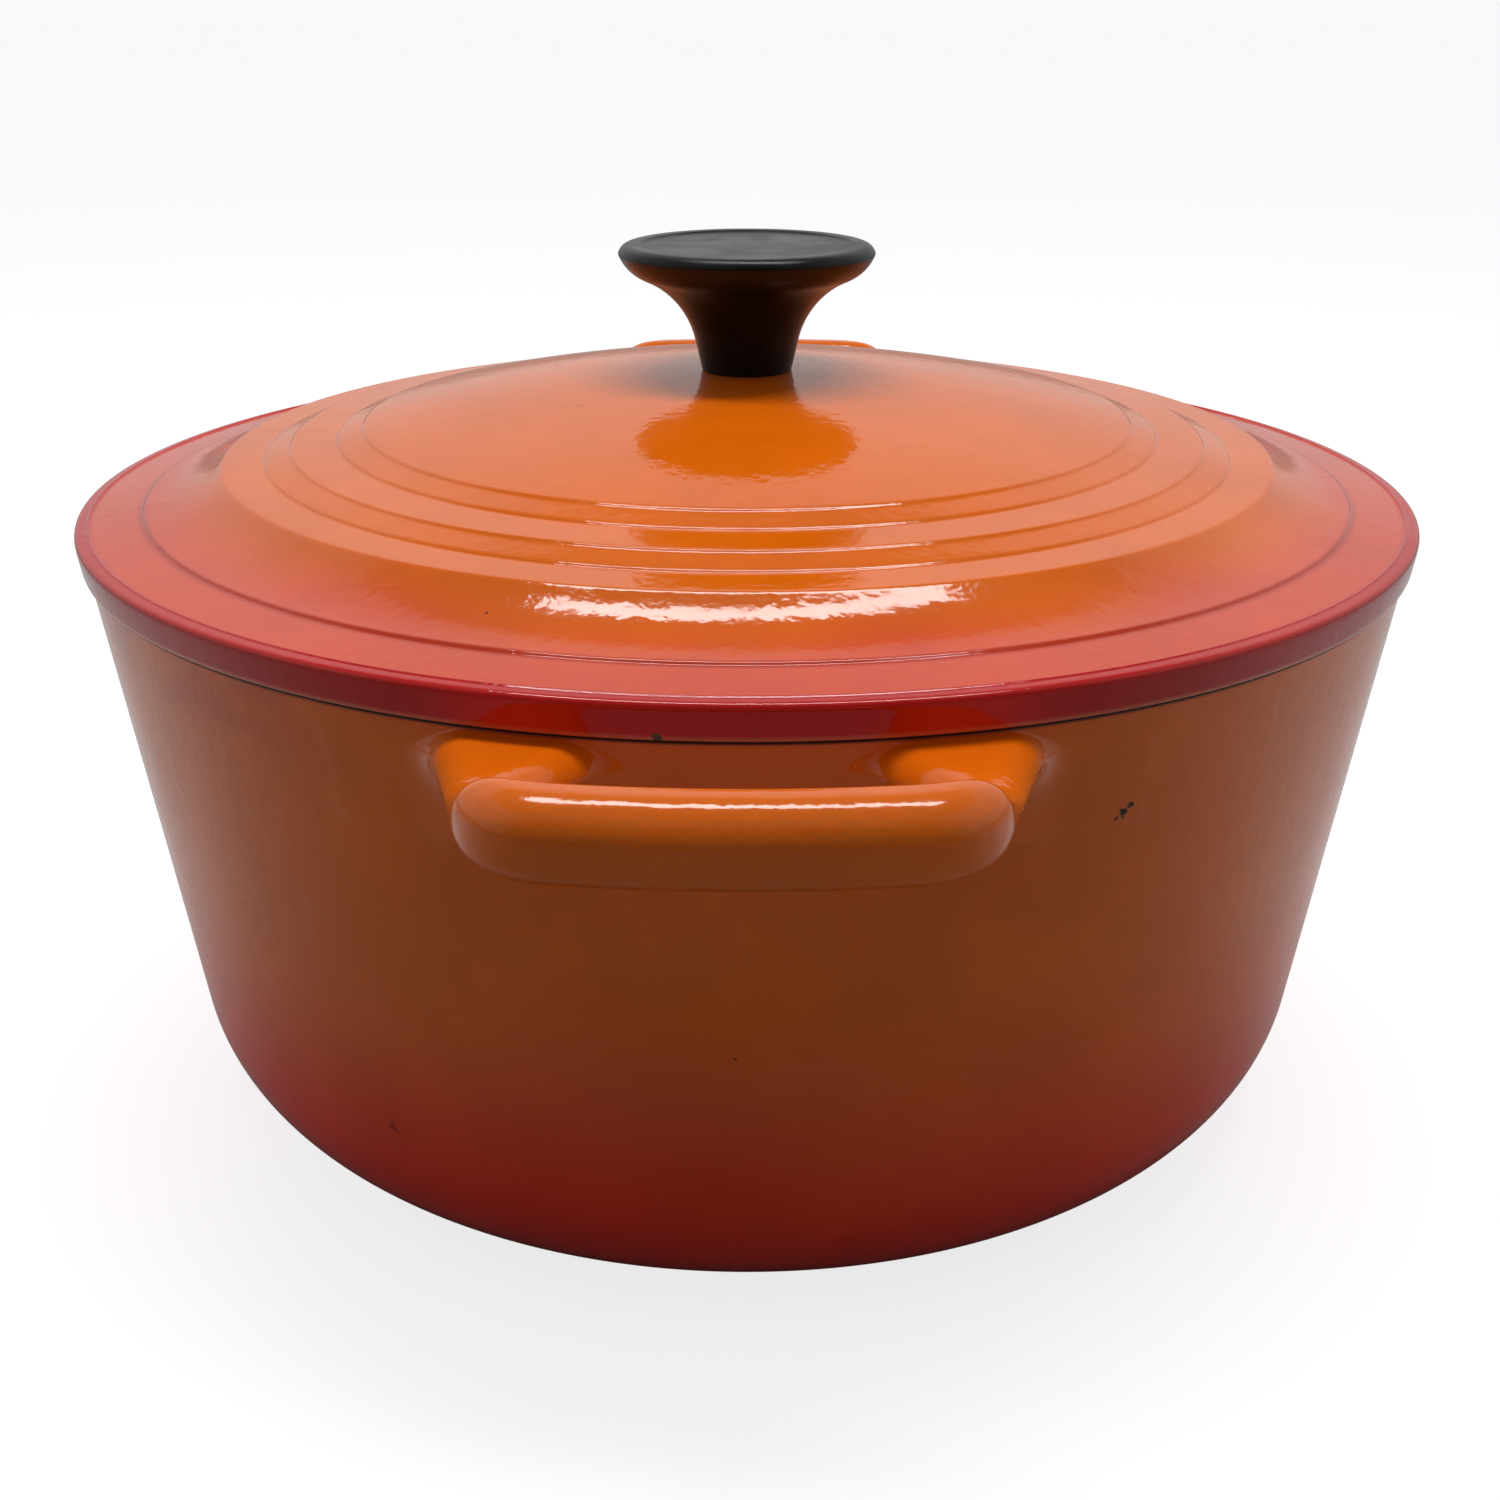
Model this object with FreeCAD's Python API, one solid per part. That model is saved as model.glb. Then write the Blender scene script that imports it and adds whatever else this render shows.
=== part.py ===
import FreeCAD, Part
import math
import os

from FreeCAD import Vector

# Millimetres. Z = 0 is the surface the oven stands on, the axis of the pot is Z, and the handles lie along Y.

# Pot shell: a level base, a round corner and a straight wall that widens towards the rim
POT_HEIGHT = 116.2
POT_RIM_RADIUS = 128.2
WALL_TAPER = math.radians(8.1)
CORNER_RADIUS = 31.0
INNER_CORNER_RADIUS = 26.5
WALL = 4.0
FLOOR = 4.6
FOOT_RECESS_RADIUS = 66.0
FOOT_RECESS_DEPTH = 0.8
RIM_ROUND = 1.0

# Loop handles, cast in one with the shell
HANDLE_ROOT_RADIUS = 125.0
HANDLE_REACH = 168.0
BAR_INNER_RADIUS = 155.2
BAR_TOP = 122.5
BAR_BOTTOM = 109.8
SHELF_HEIGHT = 115.0
RAMP_FOOT_RADIUS = 147.0
RAMP_TOP_RADIUS = 159.5
RAMP_BEND = 6.0
LUG_BOTTOM = 106.2
LUG_BLEND_BOTTOM = 97.0
LUG_WAIST_RADIUS = 141.0
LUG_WAIST_HALF_WIDTH = 39.3
LUG_SIDE_SLOPE = 0.25
WALL_BLEND = 8.0
BAR_CORNER_RADIUS = 13.0
HANDLE_EDGE_ROUND = 3.0
GAP_WALL_HALF_WIDTH = 20.0
GAP_HALF_WIDTH = 29.0
GAP_WIDE_RADIUS = 141.5
GAP_CORNER_RADIUS = 8.0
HANDLE_SWEEP = 70.0
HANDLE_BACK_RADIUS = 106.0

# Lid casting: two inner rings, each a crest and a shallow drop, then an outer crest and a hollow sweep
LID_SHOULDER_RADIUS = 130.25
LID_EDGE_BOTTOM_RADIUS = 129.2
RIM_BEAD_RADIUS = 127.4
RIM_BEAD_HEIGHT = 122.8
RIM_BEAD_RISE = 0.4
LID_EDGE_ROUND = 1.8
BRIM_INNER_RADIUS = 117.6
BRIM_INNER_HEIGHT = 124.0
BRIM_RISE = 0.4
INNER_CRESTS = ((75.3, 136.2), (89.3, 133.5))
RING_DROP = 1.5
RING_RUN = 5.0
OUTER_CREST = (102.6, 130.6)
RING_ROUND = 2.5
SWEEP_SAG = 1.2
KNOB_SEAT_HEIGHT = 144.8
KNOB_SEAT_RADIUS = 9.6
LID_THICKNESS = 3.9
UNDER_SHIFT = 1.3
FLANGE_RADIUS = 122.6
FLANGE_WIDTH = 3.6
FLANGE_BOTTOM = 112.6
FLANGE_ROUND = 0.8
PAD_RADIUS = 11.0
PAD_HEIGHT = 140.0
LID_HOLE_RADIUS = 3.3

# Knob and its fixing. The thread is a plain cylinder at its pitch radius on both pieces.
KNOB_BASE_RADIUS = 8.8
KNOB_NECK = (10.4, 151.7)
KNOB_FLARE = (13.95, 158.15)
KNOB_UNDERSIDE = (20.4, 162.7)
KNOB_SHOULDER = (23.6, 165.0)
KNOB_WIDEST = (25.0, 167.4)
KNOB_BROW = (24.3, 168.6)
KNOB_TOP = 169.2
KNOB_TOP_RADIUS = 22.4
KNOB_RECESS_RADIUS = 20.6
KNOB_RECESS_DEPTH = 0.4
INSERT_RADIUS = 4.5
INSERT_GROOVE_RADIUS = 3.9
INSERT_GROOVE_WIDTH = 2.5
INSERT_LENGTH = 12.5
INSERT_SETBACK = 0.5
THREAD_PITCH_RADIUS = 2.68
THREAD_DEPTH = 11.0
SCREW_ENGAGEMENT = 9.5
WASHER_RADIUS = 7.5
WASHER_HOLE_RADIUS = 3.2
WASHER_THICKNESS = 1.2
SCREW_HEAD_RADIUS = 6.0
SCREW_HEAD_HEIGHT = 3.4
SCREW_HEAD_ROUND = 1.6
SLOT_WIDTH = 1.6
SLOT_DEPTH = 1.5

ORIGIN = Vector(0, 0, 0)
UP = Vector(0, 0, 1)


def point(radius, height):
    return Vector(radius, 0, height)


def line(start, end):
    return Part.LineSegment(start, end).toShape()


def arc(start, middle, end):
    return Part.Arc(start, middle, end).toShape()


def polyline(points):
    return [line(a, b) for a, b in zip(points, points[1:])]


def revolve(edges):
    face = Part.Face(Part.Wire(edges))
    return Part.Solid(face.revolve(ORIGIN, UP, 360).Shells[0])


def cylinder(radius, bottom, top):
    return Part.makeCylinder(radius, top - bottom, Vector(0, 0, bottom))


def bend(last, corner_point, following, radius):
    """Start, middle and end of the arc that rounds the corner between two straight lines."""
    to_last = (last - corner_point).normalize()
    to_next = (following - corner_point).normalize()
    half = to_last.getAngle(to_next) / 2
    reach = radius / math.tan(half)
    middle = (to_last + to_next).normalize() * (radius / math.sin(half) - radius)
    return corner_point + to_last * reach, corner_point + middle, corner_point + to_next * reach


def rounded_path(corners):
    """Edges through (point, radius) corners. A radius of 0 leaves a corner sharp."""
    points = [p for p, _ in corners]
    edges = []
    start = points[0]
    for last, (corner_point, radius), following in zip(points, corners[1:], points[2:]):
        if radius:
            bend_start, bend_middle, bend_end = bend(last, corner_point, following, radius)
            edges += [line(start, bend_start), arc(bend_start, bend_middle, bend_end)]
            start = bend_end
        else:
            edges.append(line(start, corner_point))
            start = corner_point
    edges.append(line(start, points[-1]))
    return edges


def bend_onto_circle(line_start, line_end, circle_radius, radius):
    """Start, middle and end of the arc from a straight line into a circle about the origin."""
    along = (line_end - line_start).normalize()
    outward = Vector(-along.y, along.x, 0)
    level = outward.dot(line_start) - radius
    reach = math.sqrt((circle_radius - radius) ** 2 - level ** 2)
    centre = outward * level + along * reach
    to_circle = Vector(centre).normalize()
    middle = (outward + to_circle).normalize()
    return centre + outward * radius, centre + middle * radius, centre + to_circle * radius


def ring_edges(shape, rings):
    """The circular edges at the given radii and heights."""
    found = []
    for edge in shape.Edges:
        box = edge.BoundBox
        if box.ZLength > 0.01:
            continue
        if any(abs(box.XMax - r) < 0.01 and abs(box.ZMin - z) < 0.01 for r, z in rings):
            found.append(edge)
    return found


def sharp_edges(shape, beyond):
    """The edges outside one radius whose two faces don't run smoothly into each other."""
    found = []
    for edge in shape.Edges:
        middle = edge.valueAt((edge.FirstParameter + edge.LastParameter) / 2)
        faces = shape.ancestorsOfType(edge, Part.Face)
        if math.hypot(middle.x, middle.y) < beyond or len(faces) != 2:
            continue
        first, second = (face.normalAt(*face.Surface.parameter(middle)) for face in faces)
        if abs(first.dot(second)) < 0.995:
            found.append(edge)
    return found


def outer_wall_radius(height):
    return POT_RIM_RADIUS - (POT_HEIGHT - height) * math.tan(WALL_TAPER)


def inner_wall_radius(height):
    return outer_wall_radius(height) - WALL / math.cos(WALL_TAPER)


def floor_corner(wall_radius, floor_height, radius):
    """Start, middle and end of the arc that joins a level floor to the tapered wall."""
    centre_height = floor_height + radius
    centre_radius = wall_radius(centre_height) - radius / math.cos(WALL_TAPER)
    half = (math.pi / 2 - WALL_TAPER) / 2
    start = point(centre_radius, floor_height)
    middle = point(centre_radius + radius * math.sin(half), centre_height - radius * math.cos(half))
    end = point(
        centre_radius + radius * math.cos(WALL_TAPER),
        centre_height - radius * math.sin(WALL_TAPER),
    )
    return start, middle, end


def pot_shell():
    """The round shell. A shallow recess under the base leaves a flat foot ring."""
    foot, foot_bend, wall_start = floor_corner(outer_wall_radius, 0, CORNER_RADIUS)
    floor_edge, floor_bend, inner_start = floor_corner(inner_wall_radius, FLOOR, INNER_CORNER_RADIUS)
    rim_outer = point(POT_RIM_RADIUS, POT_HEIGHT)
    rim_inner = point(inner_wall_radius(POT_HEIGHT), POT_HEIGHT)
    edges = polyline([
        point(0, FLOOR),
        point(0, FOOT_RECESS_DEPTH),
        point(FOOT_RECESS_RADIUS, FOOT_RECESS_DEPTH),
        point(FOOT_RECESS_RADIUS + 2 * FOOT_RECESS_DEPTH, 0),
        foot,
    ])
    edges.append(arc(foot, foot_bend, wall_start))
    edges += polyline([wall_start, rim_outer, rim_inner, inner_start])
    edges.append(arc(inner_start, floor_bend, floor_edge))
    edges.append(line(floor_edge, point(0, FLOOR)))
    shell = revolve(edges)
    rim = [(rim_outer.x, POT_HEIGHT), (rim_inner.x, POT_HEIGHT)]
    return shell.makeFillet(RIM_ROUND, ring_edges(shell, rim))


def handle_section():
    """The handle's section along the radius, swept round the pot's axis before it is cut to plan."""
    face = Part.Face(Part.Wire(rounded_path([
        (point(HANDLE_BACK_RADIUS, LUG_BLEND_BOTTOM), 0),
        (point(HANDLE_BACK_RADIUS, SHELF_HEIGHT), 0),
        (point(RAMP_FOOT_RADIUS, SHELF_HEIGHT), RAMP_BEND),
        (point(RAMP_TOP_RADIUS, BAR_TOP), RAMP_BEND),
        (point(HANDLE_REACH, BAR_TOP), 0),
        (point(HANDLE_REACH, BAR_BOTTOM), 0),
        (point(BAR_INNER_RADIUS, BAR_BOTTOM), WALL_BLEND),
        (point(outer_wall_radius(LUG_BOTTOM), LUG_BOTTOM), WALL_BLEND),
        (point(outer_wall_radius(LUG_BLEND_BOTTOM), LUG_BLEND_BOTTOM), 0),
        (point(HANDLE_BACK_RADIUS, LUG_BLEND_BOTTOM), 0),
    ])))
    face.rotate(ORIGIN, UP, -HANDLE_SWEEP / 2)
    return face.revolve(ORIGIN, UP, HANDLE_SWEEP)


def prism(half_plan):
    """An upright block from half of its plan: the X axis mirrors the other half."""
    other_half = [edge.mirror(ORIGIN, Vector(0, 1, 0)) for edge in half_plan]
    face = Part.Face(Part.Wire(Part.__sortEdges__(half_plan + other_half)))
    face.translate(Vector(0, 0, LUG_BLEND_BOTTOM - 1))
    return face.extrude(Vector(0, 0, BAR_TOP - LUG_BLEND_BOTTOM + 2))


def half_plan(corners, circle_radius, corner_radius):
    """Half a plan: straight sides with rounded corners, then a round front about the pot's axis."""
    side_start, side_end = corners[-2][0], corners[-1][0]
    start, middle, end = bend_onto_circle(side_start, side_end, circle_radius, corner_radius)
    half_angle = math.atan2(end.y, end.x) / 2
    front_middle = Vector(math.cos(half_angle), math.sin(half_angle), 0) * circle_radius
    edges = rounded_path(corners[:-1] + [(start, 0)])
    return edges + [arc(start, middle, end), arc(end, front_middle, Vector(circle_radius, 0, 0))]


def side_meets(circle_radius):
    """Where the handle's straight side meets a circle about the pot's axis."""
    half_width = LUG_WAIST_HALF_WIDTH
    for _ in range(30):
        x = math.sqrt(circle_radius ** 2 - half_width ** 2)
        half_width = LUG_WAIST_HALF_WIDTH - (x - LUG_WAIST_RADIUS) * LUG_SIDE_SLOPE
    return Vector(x, half_width, 0)


def handle_plan():
    """The handle from above: sides that flare into the wall, and a front that follows the pot round."""
    root = side_meets(HANDLE_ROOT_RADIUS)
    angle = math.atan2(root.y, root.x)
    flare_end = root + Vector(-math.sin(angle), math.cos(angle), 0) * 2 * WALL_BLEND
    back_x = flare_end.x - 2 * WALL_BLEND
    return half_plan([
        (Vector(back_x, 0, 0), 0),
        (Vector(back_x, flare_end.y, 0), 0),
        (flare_end, 0),
        (root, WALL_BLEND),
        (side_meets(HANDLE_REACH), 0),
    ], HANDLE_REACH, BAR_CORNER_RADIUS)


def gap_plan():
    """The finger gap from above: it widens from the wall to the bar."""
    slope = (GAP_HALF_WIDTH - GAP_WALL_HALF_WIDTH) / (GAP_WIDE_RADIUS - outer_wall_radius(SHELF_HEIGHT))
    back_x = HANDLE_ROOT_RADIUS - 10
    return half_plan([
        (Vector(back_x, 0, 0), 0),
        (Vector(back_x, GAP_HALF_WIDTH - (GAP_WIDE_RADIUS - back_x) * slope, 0), 0),
        (Vector(GAP_WIDE_RADIUS, GAP_HALF_WIDTH, 0), GAP_CORNER_RADIUS),
        (Vector(BAR_INNER_RADIUS, GAP_HALF_WIDTH, 0), 0),
    ], BAR_INNER_RADIUS, GAP_CORNER_RADIUS)


def loop_handle():
    """One handle along X, with its root ending half-way through the wall."""
    handle = handle_section().common(prism(handle_plan())).cut(prism(gap_plan())).Solids[0]
    handle = handle.makeFillet(HANDLE_EDGE_ROUND, sharp_edges(handle, HANDLE_ROOT_RADIUS + 2))
    bottom = LUG_BLEND_BOTTOM - 1
    inside = Part.makeCone(
        inner_wall_radius(bottom) + WALL / 2,
        inner_wall_radius(BAR_TOP) + WALL / 2,
        BAR_TOP - bottom,
        Vector(0, 0, bottom),
    )
    return handle.cut(inside)


def pot_body():
    """The shell and both loop handles, one casting."""
    body = pot_shell()
    handle = loop_handle()
    for angle in (-90, 90):
        turned = handle.copy()
        turned.rotate(ORIGIN, UP, angle)
        body = body.fuse(turned)
    return body.Solids[0]


def arc_about(centre_height, start, end):
    """An arc centred on the pot's axis."""
    radius = math.hypot(start.x, start.z - centre_height)
    middle_x = (start.x + end.x) / 2
    middle = point(middle_x, centre_height + math.sqrt(radius ** 2 - middle_x ** 2))
    return arc(start, middle, end)


def sagging_arc(start, end, sag):
    """A hollow arc whose middle lies below its chord."""
    chord = (end - start).normalize()
    middle = (start + end) / 2 - Vector(-chord.z, 0, chord.x) * sag
    return arc(start, middle, end)


def dome_centre():
    """The height of the centre of the dome between the knob's seat and the innermost crest."""
    crest_radius, crest_height = INNER_CRESTS[0]
    difference = KNOB_SEAT_RADIUS ** 2 + KNOB_SEAT_HEIGHT ** 2 - crest_radius ** 2 - crest_height ** 2
    return difference / (2 * (KNOB_SEAT_HEIGHT - crest_height))


def ring_corners():
    """Each inner crest and the foot of its drop, from the middle outwards, then the outer crest."""
    corners = []
    for radius, height in INNER_CRESTS:
        corners.append(point(radius, height))
        corners.append(point(radius + RING_RUN, height - RING_DROP))
    return corners + [point(*OUTER_CREST)]


def lid():
    """The lid casting, with a locating flange that drops into the pot's mouth."""
    centre = dome_centre()
    top = ring_corners()
    shift = Vector(-UNDER_SHIFT, 0, -LID_THICKNESS)
    under = [p + shift for p in top]
    seat_edge = point(KNOB_SEAT_RADIUS, KNOB_SEAT_HEIGHT)
    sweep_foot = point(BRIM_INNER_RADIUS - BRIM_RISE, BRIM_INNER_HEIGHT - BRIM_RISE)
    brim = point(BRIM_INNER_RADIUS, BRIM_INNER_HEIGHT)
    brim_end = point(RIM_BEAD_RADIUS - RIM_BEAD_RISE, RIM_BEAD_HEIGHT - RIM_BEAD_RISE)
    bead = point(RIM_BEAD_RADIUS, RIM_BEAD_HEIGHT)
    shoulder = point(LID_SHOULDER_RADIUS, RIM_BEAD_HEIGHT - RIM_BEAD_RISE)
    edge_bottom = point(LID_EDGE_BOTTOM_RADIUS, POT_HEIGHT)
    flange_top = point(FLANGE_RADIUS, POT_HEIGHT)
    flange_outer = point(FLANGE_RADIUS, FLANGE_BOTTOM)
    flange_inner = point(FLANGE_RADIUS - FLANGE_WIDTH, FLANGE_BOTTOM)
    under_brim = sweep_foot + shift
    under_dome_start = point(PAD_RADIUS, 0)
    under_dome_radius = math.hypot(under[0].x, under[0].z - centre)
    under_dome_start.z = centre + math.sqrt(under_dome_radius ** 2 - PAD_RADIUS ** 2)

    edges = [line(point(LID_HOLE_RADIUS, KNOB_SEAT_HEIGHT), seat_edge), arc_about(centre, seat_edge, top[0])]
    edges += polyline(top)
    edges.append(sagging_arc(top[-1], sweep_foot, SWEEP_SAG))
    edges += polyline([
        sweep_foot, brim, brim_end, bead, shoulder, edge_bottom,
        flange_top, flange_outer, flange_inner, under_brim,
    ])
    edges.append(sagging_arc(under[-1], under_brim, SWEEP_SAG))
    edges += polyline(under[::-1])
    edges.append(arc_about(centre, under[0], under_dome_start))
    edges += polyline([
        under_dome_start,
        point(PAD_RADIUS, PAD_HEIGHT),
        point(LID_HOLE_RADIUS, PAD_HEIGHT),
        point(LID_HOLE_RADIUS, KNOB_SEAT_HEIGHT),
    ])
    casting = revolve(edges)
    rings = [(p.x, p.z) for p in top + under]
    casting = casting.makeFillet(RING_ROUND, ring_edges(casting, rings))
    casting = casting.makeFillet(LID_EDGE_ROUND, ring_edges(casting, [(shoulder.x, shoulder.z)]))
    flange = [(flange_outer.x, FLANGE_BOTTOM), (flange_inner.x, FLANGE_BOTTOM), (edge_bottom.x, POT_HEIGHT)]
    return casting.makeFillet(FLANGE_ROUND, ring_edges(casting, flange))


def insert_blank():
    """The threaded insert's outside, with a groove that the moulding grips."""
    bottom = KNOB_SEAT_HEIGHT + INSERT_SETBACK
    middle = bottom + INSERT_LENGTH / 2
    lower = middle - INSERT_GROOVE_WIDTH / 2
    upper = middle + INSERT_GROOVE_WIDTH / 2
    return revolve(polyline([
        point(0, bottom),
        point(INSERT_RADIUS, bottom),
        point(INSERT_RADIUS, lower),
        point(INSERT_GROOVE_RADIUS, lower),
        point(INSERT_GROOVE_RADIUS, upper),
        point(INSERT_RADIUS, upper),
        point(INSERT_RADIUS, bottom + INSERT_LENGTH),
        point(0, bottom + INSERT_LENGTH),
        point(0, bottom),
    ]))


def lid_knob():
    """The moulded knob: a flared stem under a round disc with a shallow recess in its top."""
    neck, flare, underside, shoulder, widest, brow = (
        point(*p) for p in (KNOB_NECK, KNOB_FLARE, KNOB_UNDERSIDE, KNOB_SHOULDER, KNOB_WIDEST, KNOB_BROW)
    )
    base = point(KNOB_BASE_RADIUS, KNOB_SEAT_HEIGHT)
    top = point(KNOB_TOP_RADIUS, KNOB_TOP)
    recess_height = KNOB_TOP - KNOB_RECESS_DEPTH
    edges = [
        line(point(0, KNOB_SEAT_HEIGHT), base),
        line(base, neck),
        arc(neck, flare, underside),
        arc(underside, shoulder, widest),
        arc(widest, brow, top),
    ]
    edges += polyline([
        top,
        point(KNOB_RECESS_RADIUS, KNOB_TOP),
        point(KNOB_RECESS_RADIUS - KNOB_RECESS_DEPTH, recess_height),
        point(0, recess_height),
        point(0, KNOB_SEAT_HEIGHT),
    ])
    mouth = cylinder(INSERT_RADIUS, KNOB_SEAT_HEIGHT, KNOB_SEAT_HEIGHT + INSERT_SETBACK)
    return revolve(edges).cut(insert_blank()).cut(mouth)


def knob_insert():
    bottom = KNOB_SEAT_HEIGHT + INSERT_SETBACK
    return insert_blank().cut(cylinder(THREAD_PITCH_RADIUS, bottom, bottom + THREAD_DEPTH))


def screw_washer():
    outer = cylinder(WASHER_RADIUS, PAD_HEIGHT - WASHER_THICKNESS, PAD_HEIGHT)
    return outer.cut(cylinder(WASHER_HOLE_RADIUS, PAD_HEIGHT - WASHER_THICKNESS, PAD_HEIGHT))


def knob_screw():
    """A pan-head screw with a straight slot, driven up through the lid."""
    head_top = PAD_HEIGHT - WASHER_THICKNESS
    head_bottom = head_top - SCREW_HEAD_HEIGHT
    head = cylinder(SCREW_HEAD_RADIUS, head_bottom, head_top)
    head = head.makeFillet(SCREW_HEAD_ROUND, ring_edges(head, [(SCREW_HEAD_RADIUS, head_bottom)]))
    slot = Part.makeBox(
        2 * SCREW_HEAD_RADIUS, SLOT_WIDTH, SLOT_DEPTH,
        Vector(-SCREW_HEAD_RADIUS, -SLOT_WIDTH / 2, head_bottom),
    )
    tip = KNOB_SEAT_HEIGHT + INSERT_SETBACK + SCREW_ENGAGEMENT
    return head.cut(slot).fuse(cylinder(THREAD_PITCH_RADIUS, head_top, tip))


def main():
    os.makedirs("parts", exist_ok=True)
    for make in (pot_body, lid, lid_knob, knob_insert, screw_washer, knob_screw):
        shape = make()
        volume = shape.Volume / 1000
        print(make.__name__, "valid", shape.isValid(), "solids", len(shape.Solids), "cm3", round(volume, 1))
        shape.exportStep(f"parts/{make.__name__}.step")


main()
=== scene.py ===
import math

import bpy
import numpy as np
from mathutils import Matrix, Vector


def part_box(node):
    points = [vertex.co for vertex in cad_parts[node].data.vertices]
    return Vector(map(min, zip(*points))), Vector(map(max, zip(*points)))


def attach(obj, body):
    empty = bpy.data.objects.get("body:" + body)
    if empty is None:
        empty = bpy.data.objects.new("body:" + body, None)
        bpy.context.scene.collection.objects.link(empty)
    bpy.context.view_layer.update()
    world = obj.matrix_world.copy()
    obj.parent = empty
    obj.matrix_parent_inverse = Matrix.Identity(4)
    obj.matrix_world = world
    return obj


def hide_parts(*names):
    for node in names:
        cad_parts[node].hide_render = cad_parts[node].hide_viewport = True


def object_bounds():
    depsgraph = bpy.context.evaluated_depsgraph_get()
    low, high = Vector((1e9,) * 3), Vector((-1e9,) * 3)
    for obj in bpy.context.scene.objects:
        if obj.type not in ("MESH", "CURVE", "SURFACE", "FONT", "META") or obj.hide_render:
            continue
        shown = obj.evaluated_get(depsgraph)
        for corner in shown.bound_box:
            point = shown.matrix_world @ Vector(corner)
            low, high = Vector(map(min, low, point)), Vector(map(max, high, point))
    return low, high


# The oven's looks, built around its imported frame. Outlines are in millimetres, as the part's are, and meshes
# are in metres. Z = 0 is the surface the oven stands on, the pot's axis is Z, and the handles lie along Y.

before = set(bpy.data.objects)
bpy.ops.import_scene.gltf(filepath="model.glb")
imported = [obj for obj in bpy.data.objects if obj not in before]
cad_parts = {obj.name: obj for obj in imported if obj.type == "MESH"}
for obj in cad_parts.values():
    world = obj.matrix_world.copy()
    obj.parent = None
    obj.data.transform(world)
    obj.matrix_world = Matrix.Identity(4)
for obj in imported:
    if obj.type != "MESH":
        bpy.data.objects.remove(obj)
cad_low, cad_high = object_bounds()

MM = 0.001

# Pot
FLANGE_DEPTH = 3.6
FLANGE_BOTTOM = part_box("lid")[0].z / MM
POT_HEIGHT = FLANGE_BOTTOM + FLANGE_DEPTH
POT_RIM_RADIUS = 128.2
WALL_TAPER = math.radians(8.1)
CORNER_RADIUS = 31.0
INNER_CORNER_RADIUS = 26.5
WALL = 4.0
FLOOR = 4.6
FOOT_RECESS_RADIUS = 66.0
FOOT_RECESS_DEPTH = 0.8
FOOT_RECESS_ROUND = 0.4
RIM_ROUND = 1.0
LINING_START = WALL - 0.9
LINING_FADE = 0.5
BARE_RIM_START = POT_HEIGHT - 0.9
BARE_RIM_FADE = 0.3
BARE_RIM_REACH = 129.0

# Loop handles
HANDLE_REACH = cad_high.y / MM
HANDLE_ROOT_RADIUS = 125.0
HANDLE_BACK_RADIUS = 106.0
BAR_INNER_RADIUS = 155.2
BAR_TOP = 122.5
BAR_BOTTOM = 109.8
SHELF_HEIGHT = 115.0
RAMP_FOOT_RADIUS = 147.0
RAMP_TOP_RADIUS = 159.5
RAMP_BEND = 6.0
LUG_BOTTOM = 106.2
LUG_BLEND_BOTTOM = 97.0
LUG_WAIST_RADIUS = 141.0
LUG_WAIST_HALF_WIDTH = 40.2
LUG_SIDE_SLOPE = 0.25
WALL_BLEND = 8.0
BAR_CORNER_RADIUS = 15.5
BAR_CROWN_ROUND = 6.0
BAR_UNDER_ROUND = 5.0
GAP_WALL_HALF_WIDTH = 20.0
GAP_HALF_WIDTH = 29.0
GAP_WIDE_RADIUS = 141.5
GAP_CORNER_RADIUS = 8.0
SHELF_FILLET = 0.8
ROOT_FILLET = 4.5
FILLET_CHANGE = 4.0

# The grid on which the pot's surface is found, as (start, end, step) in millimetres, and its turns in degrees
RADIUS_STRETCHES = ((58, 64, 2), (64, 70, 0.5), (70, 120, 1.6), (120, 130, 0.5), (130, 169, 0.65))
LOW_STRETCHES = ((-0.6, 1.8, 0.4), (1.8, 96, 1.3))
HIGH_STRETCHES = ((96, 114.4, 0.65), (114.4, 116.8, 0.3), (116.8, 123.5, 0.6))
HANDLE_TURN = 0.25
SIDE_TURN = 0.8
HANDLE_TURN_END = 28.0
TURN_CHANGE = 8.0
NEWTON_STEPS = 3
DISC_SHARES = (0.8, 0.6, 0.4, 0.2, 0.06)

# Lid. The shoulder's corner lies past the CAD box, and softening brings it back inside.
LID_SHOULDER_RADIUS = cad_high.x / MM + 0.15
LID_SHOULDER_DROP = 0.48
LID_EDGE_BOTTOM_RADIUS = 129.2
RIM_BEAD_RADIUS = 127.4
RIM_BEAD_HEIGHT = 122.8
RIM_BEAD_RISE = 0.4
RIM_BEAD_FALL = 0.32
BRIM_INNER_RADIUS = 117.6
BRIM_INNER_HEIGHT = 124.0
BRIM_STEP = 0.5
INNER_CRESTS = ((75.3, 136.2), (89.3, 133.25))
RING_DROP = 1.9
RING_RUN = 5.0
RING_LIP = 0.45
RING_HOLD = 0.02
OUTER_CREST = (102.6, 130.45)
SWEEP_SAG = 1.2
KNOB_SEAT_HEIGHT = 144.8
KNOB_SEAT_RADIUS = 9.6
LID_THICKNESS = 3.9
UNDER_SHIFT = 1.3
FLANGE_RADIUS = 122.6
FLANGE_WIDTH = 3.6
PAD_RADIUS = 11.0
PAD_HEIGHT = 140.0
LID_HOLE_RADIUS = 3.3
LID_SEGMENTS = 384
LID_SPACING = 0.05
LIP_SOFTNESS = 0.18
BEAD_SOFTNESS = 0.16
EDGE_SOFTNESS = 0.4
OUTER_CREST_SOFTNESS = 0.5
SHOULDER_SOFTNESS = 1.0

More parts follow.
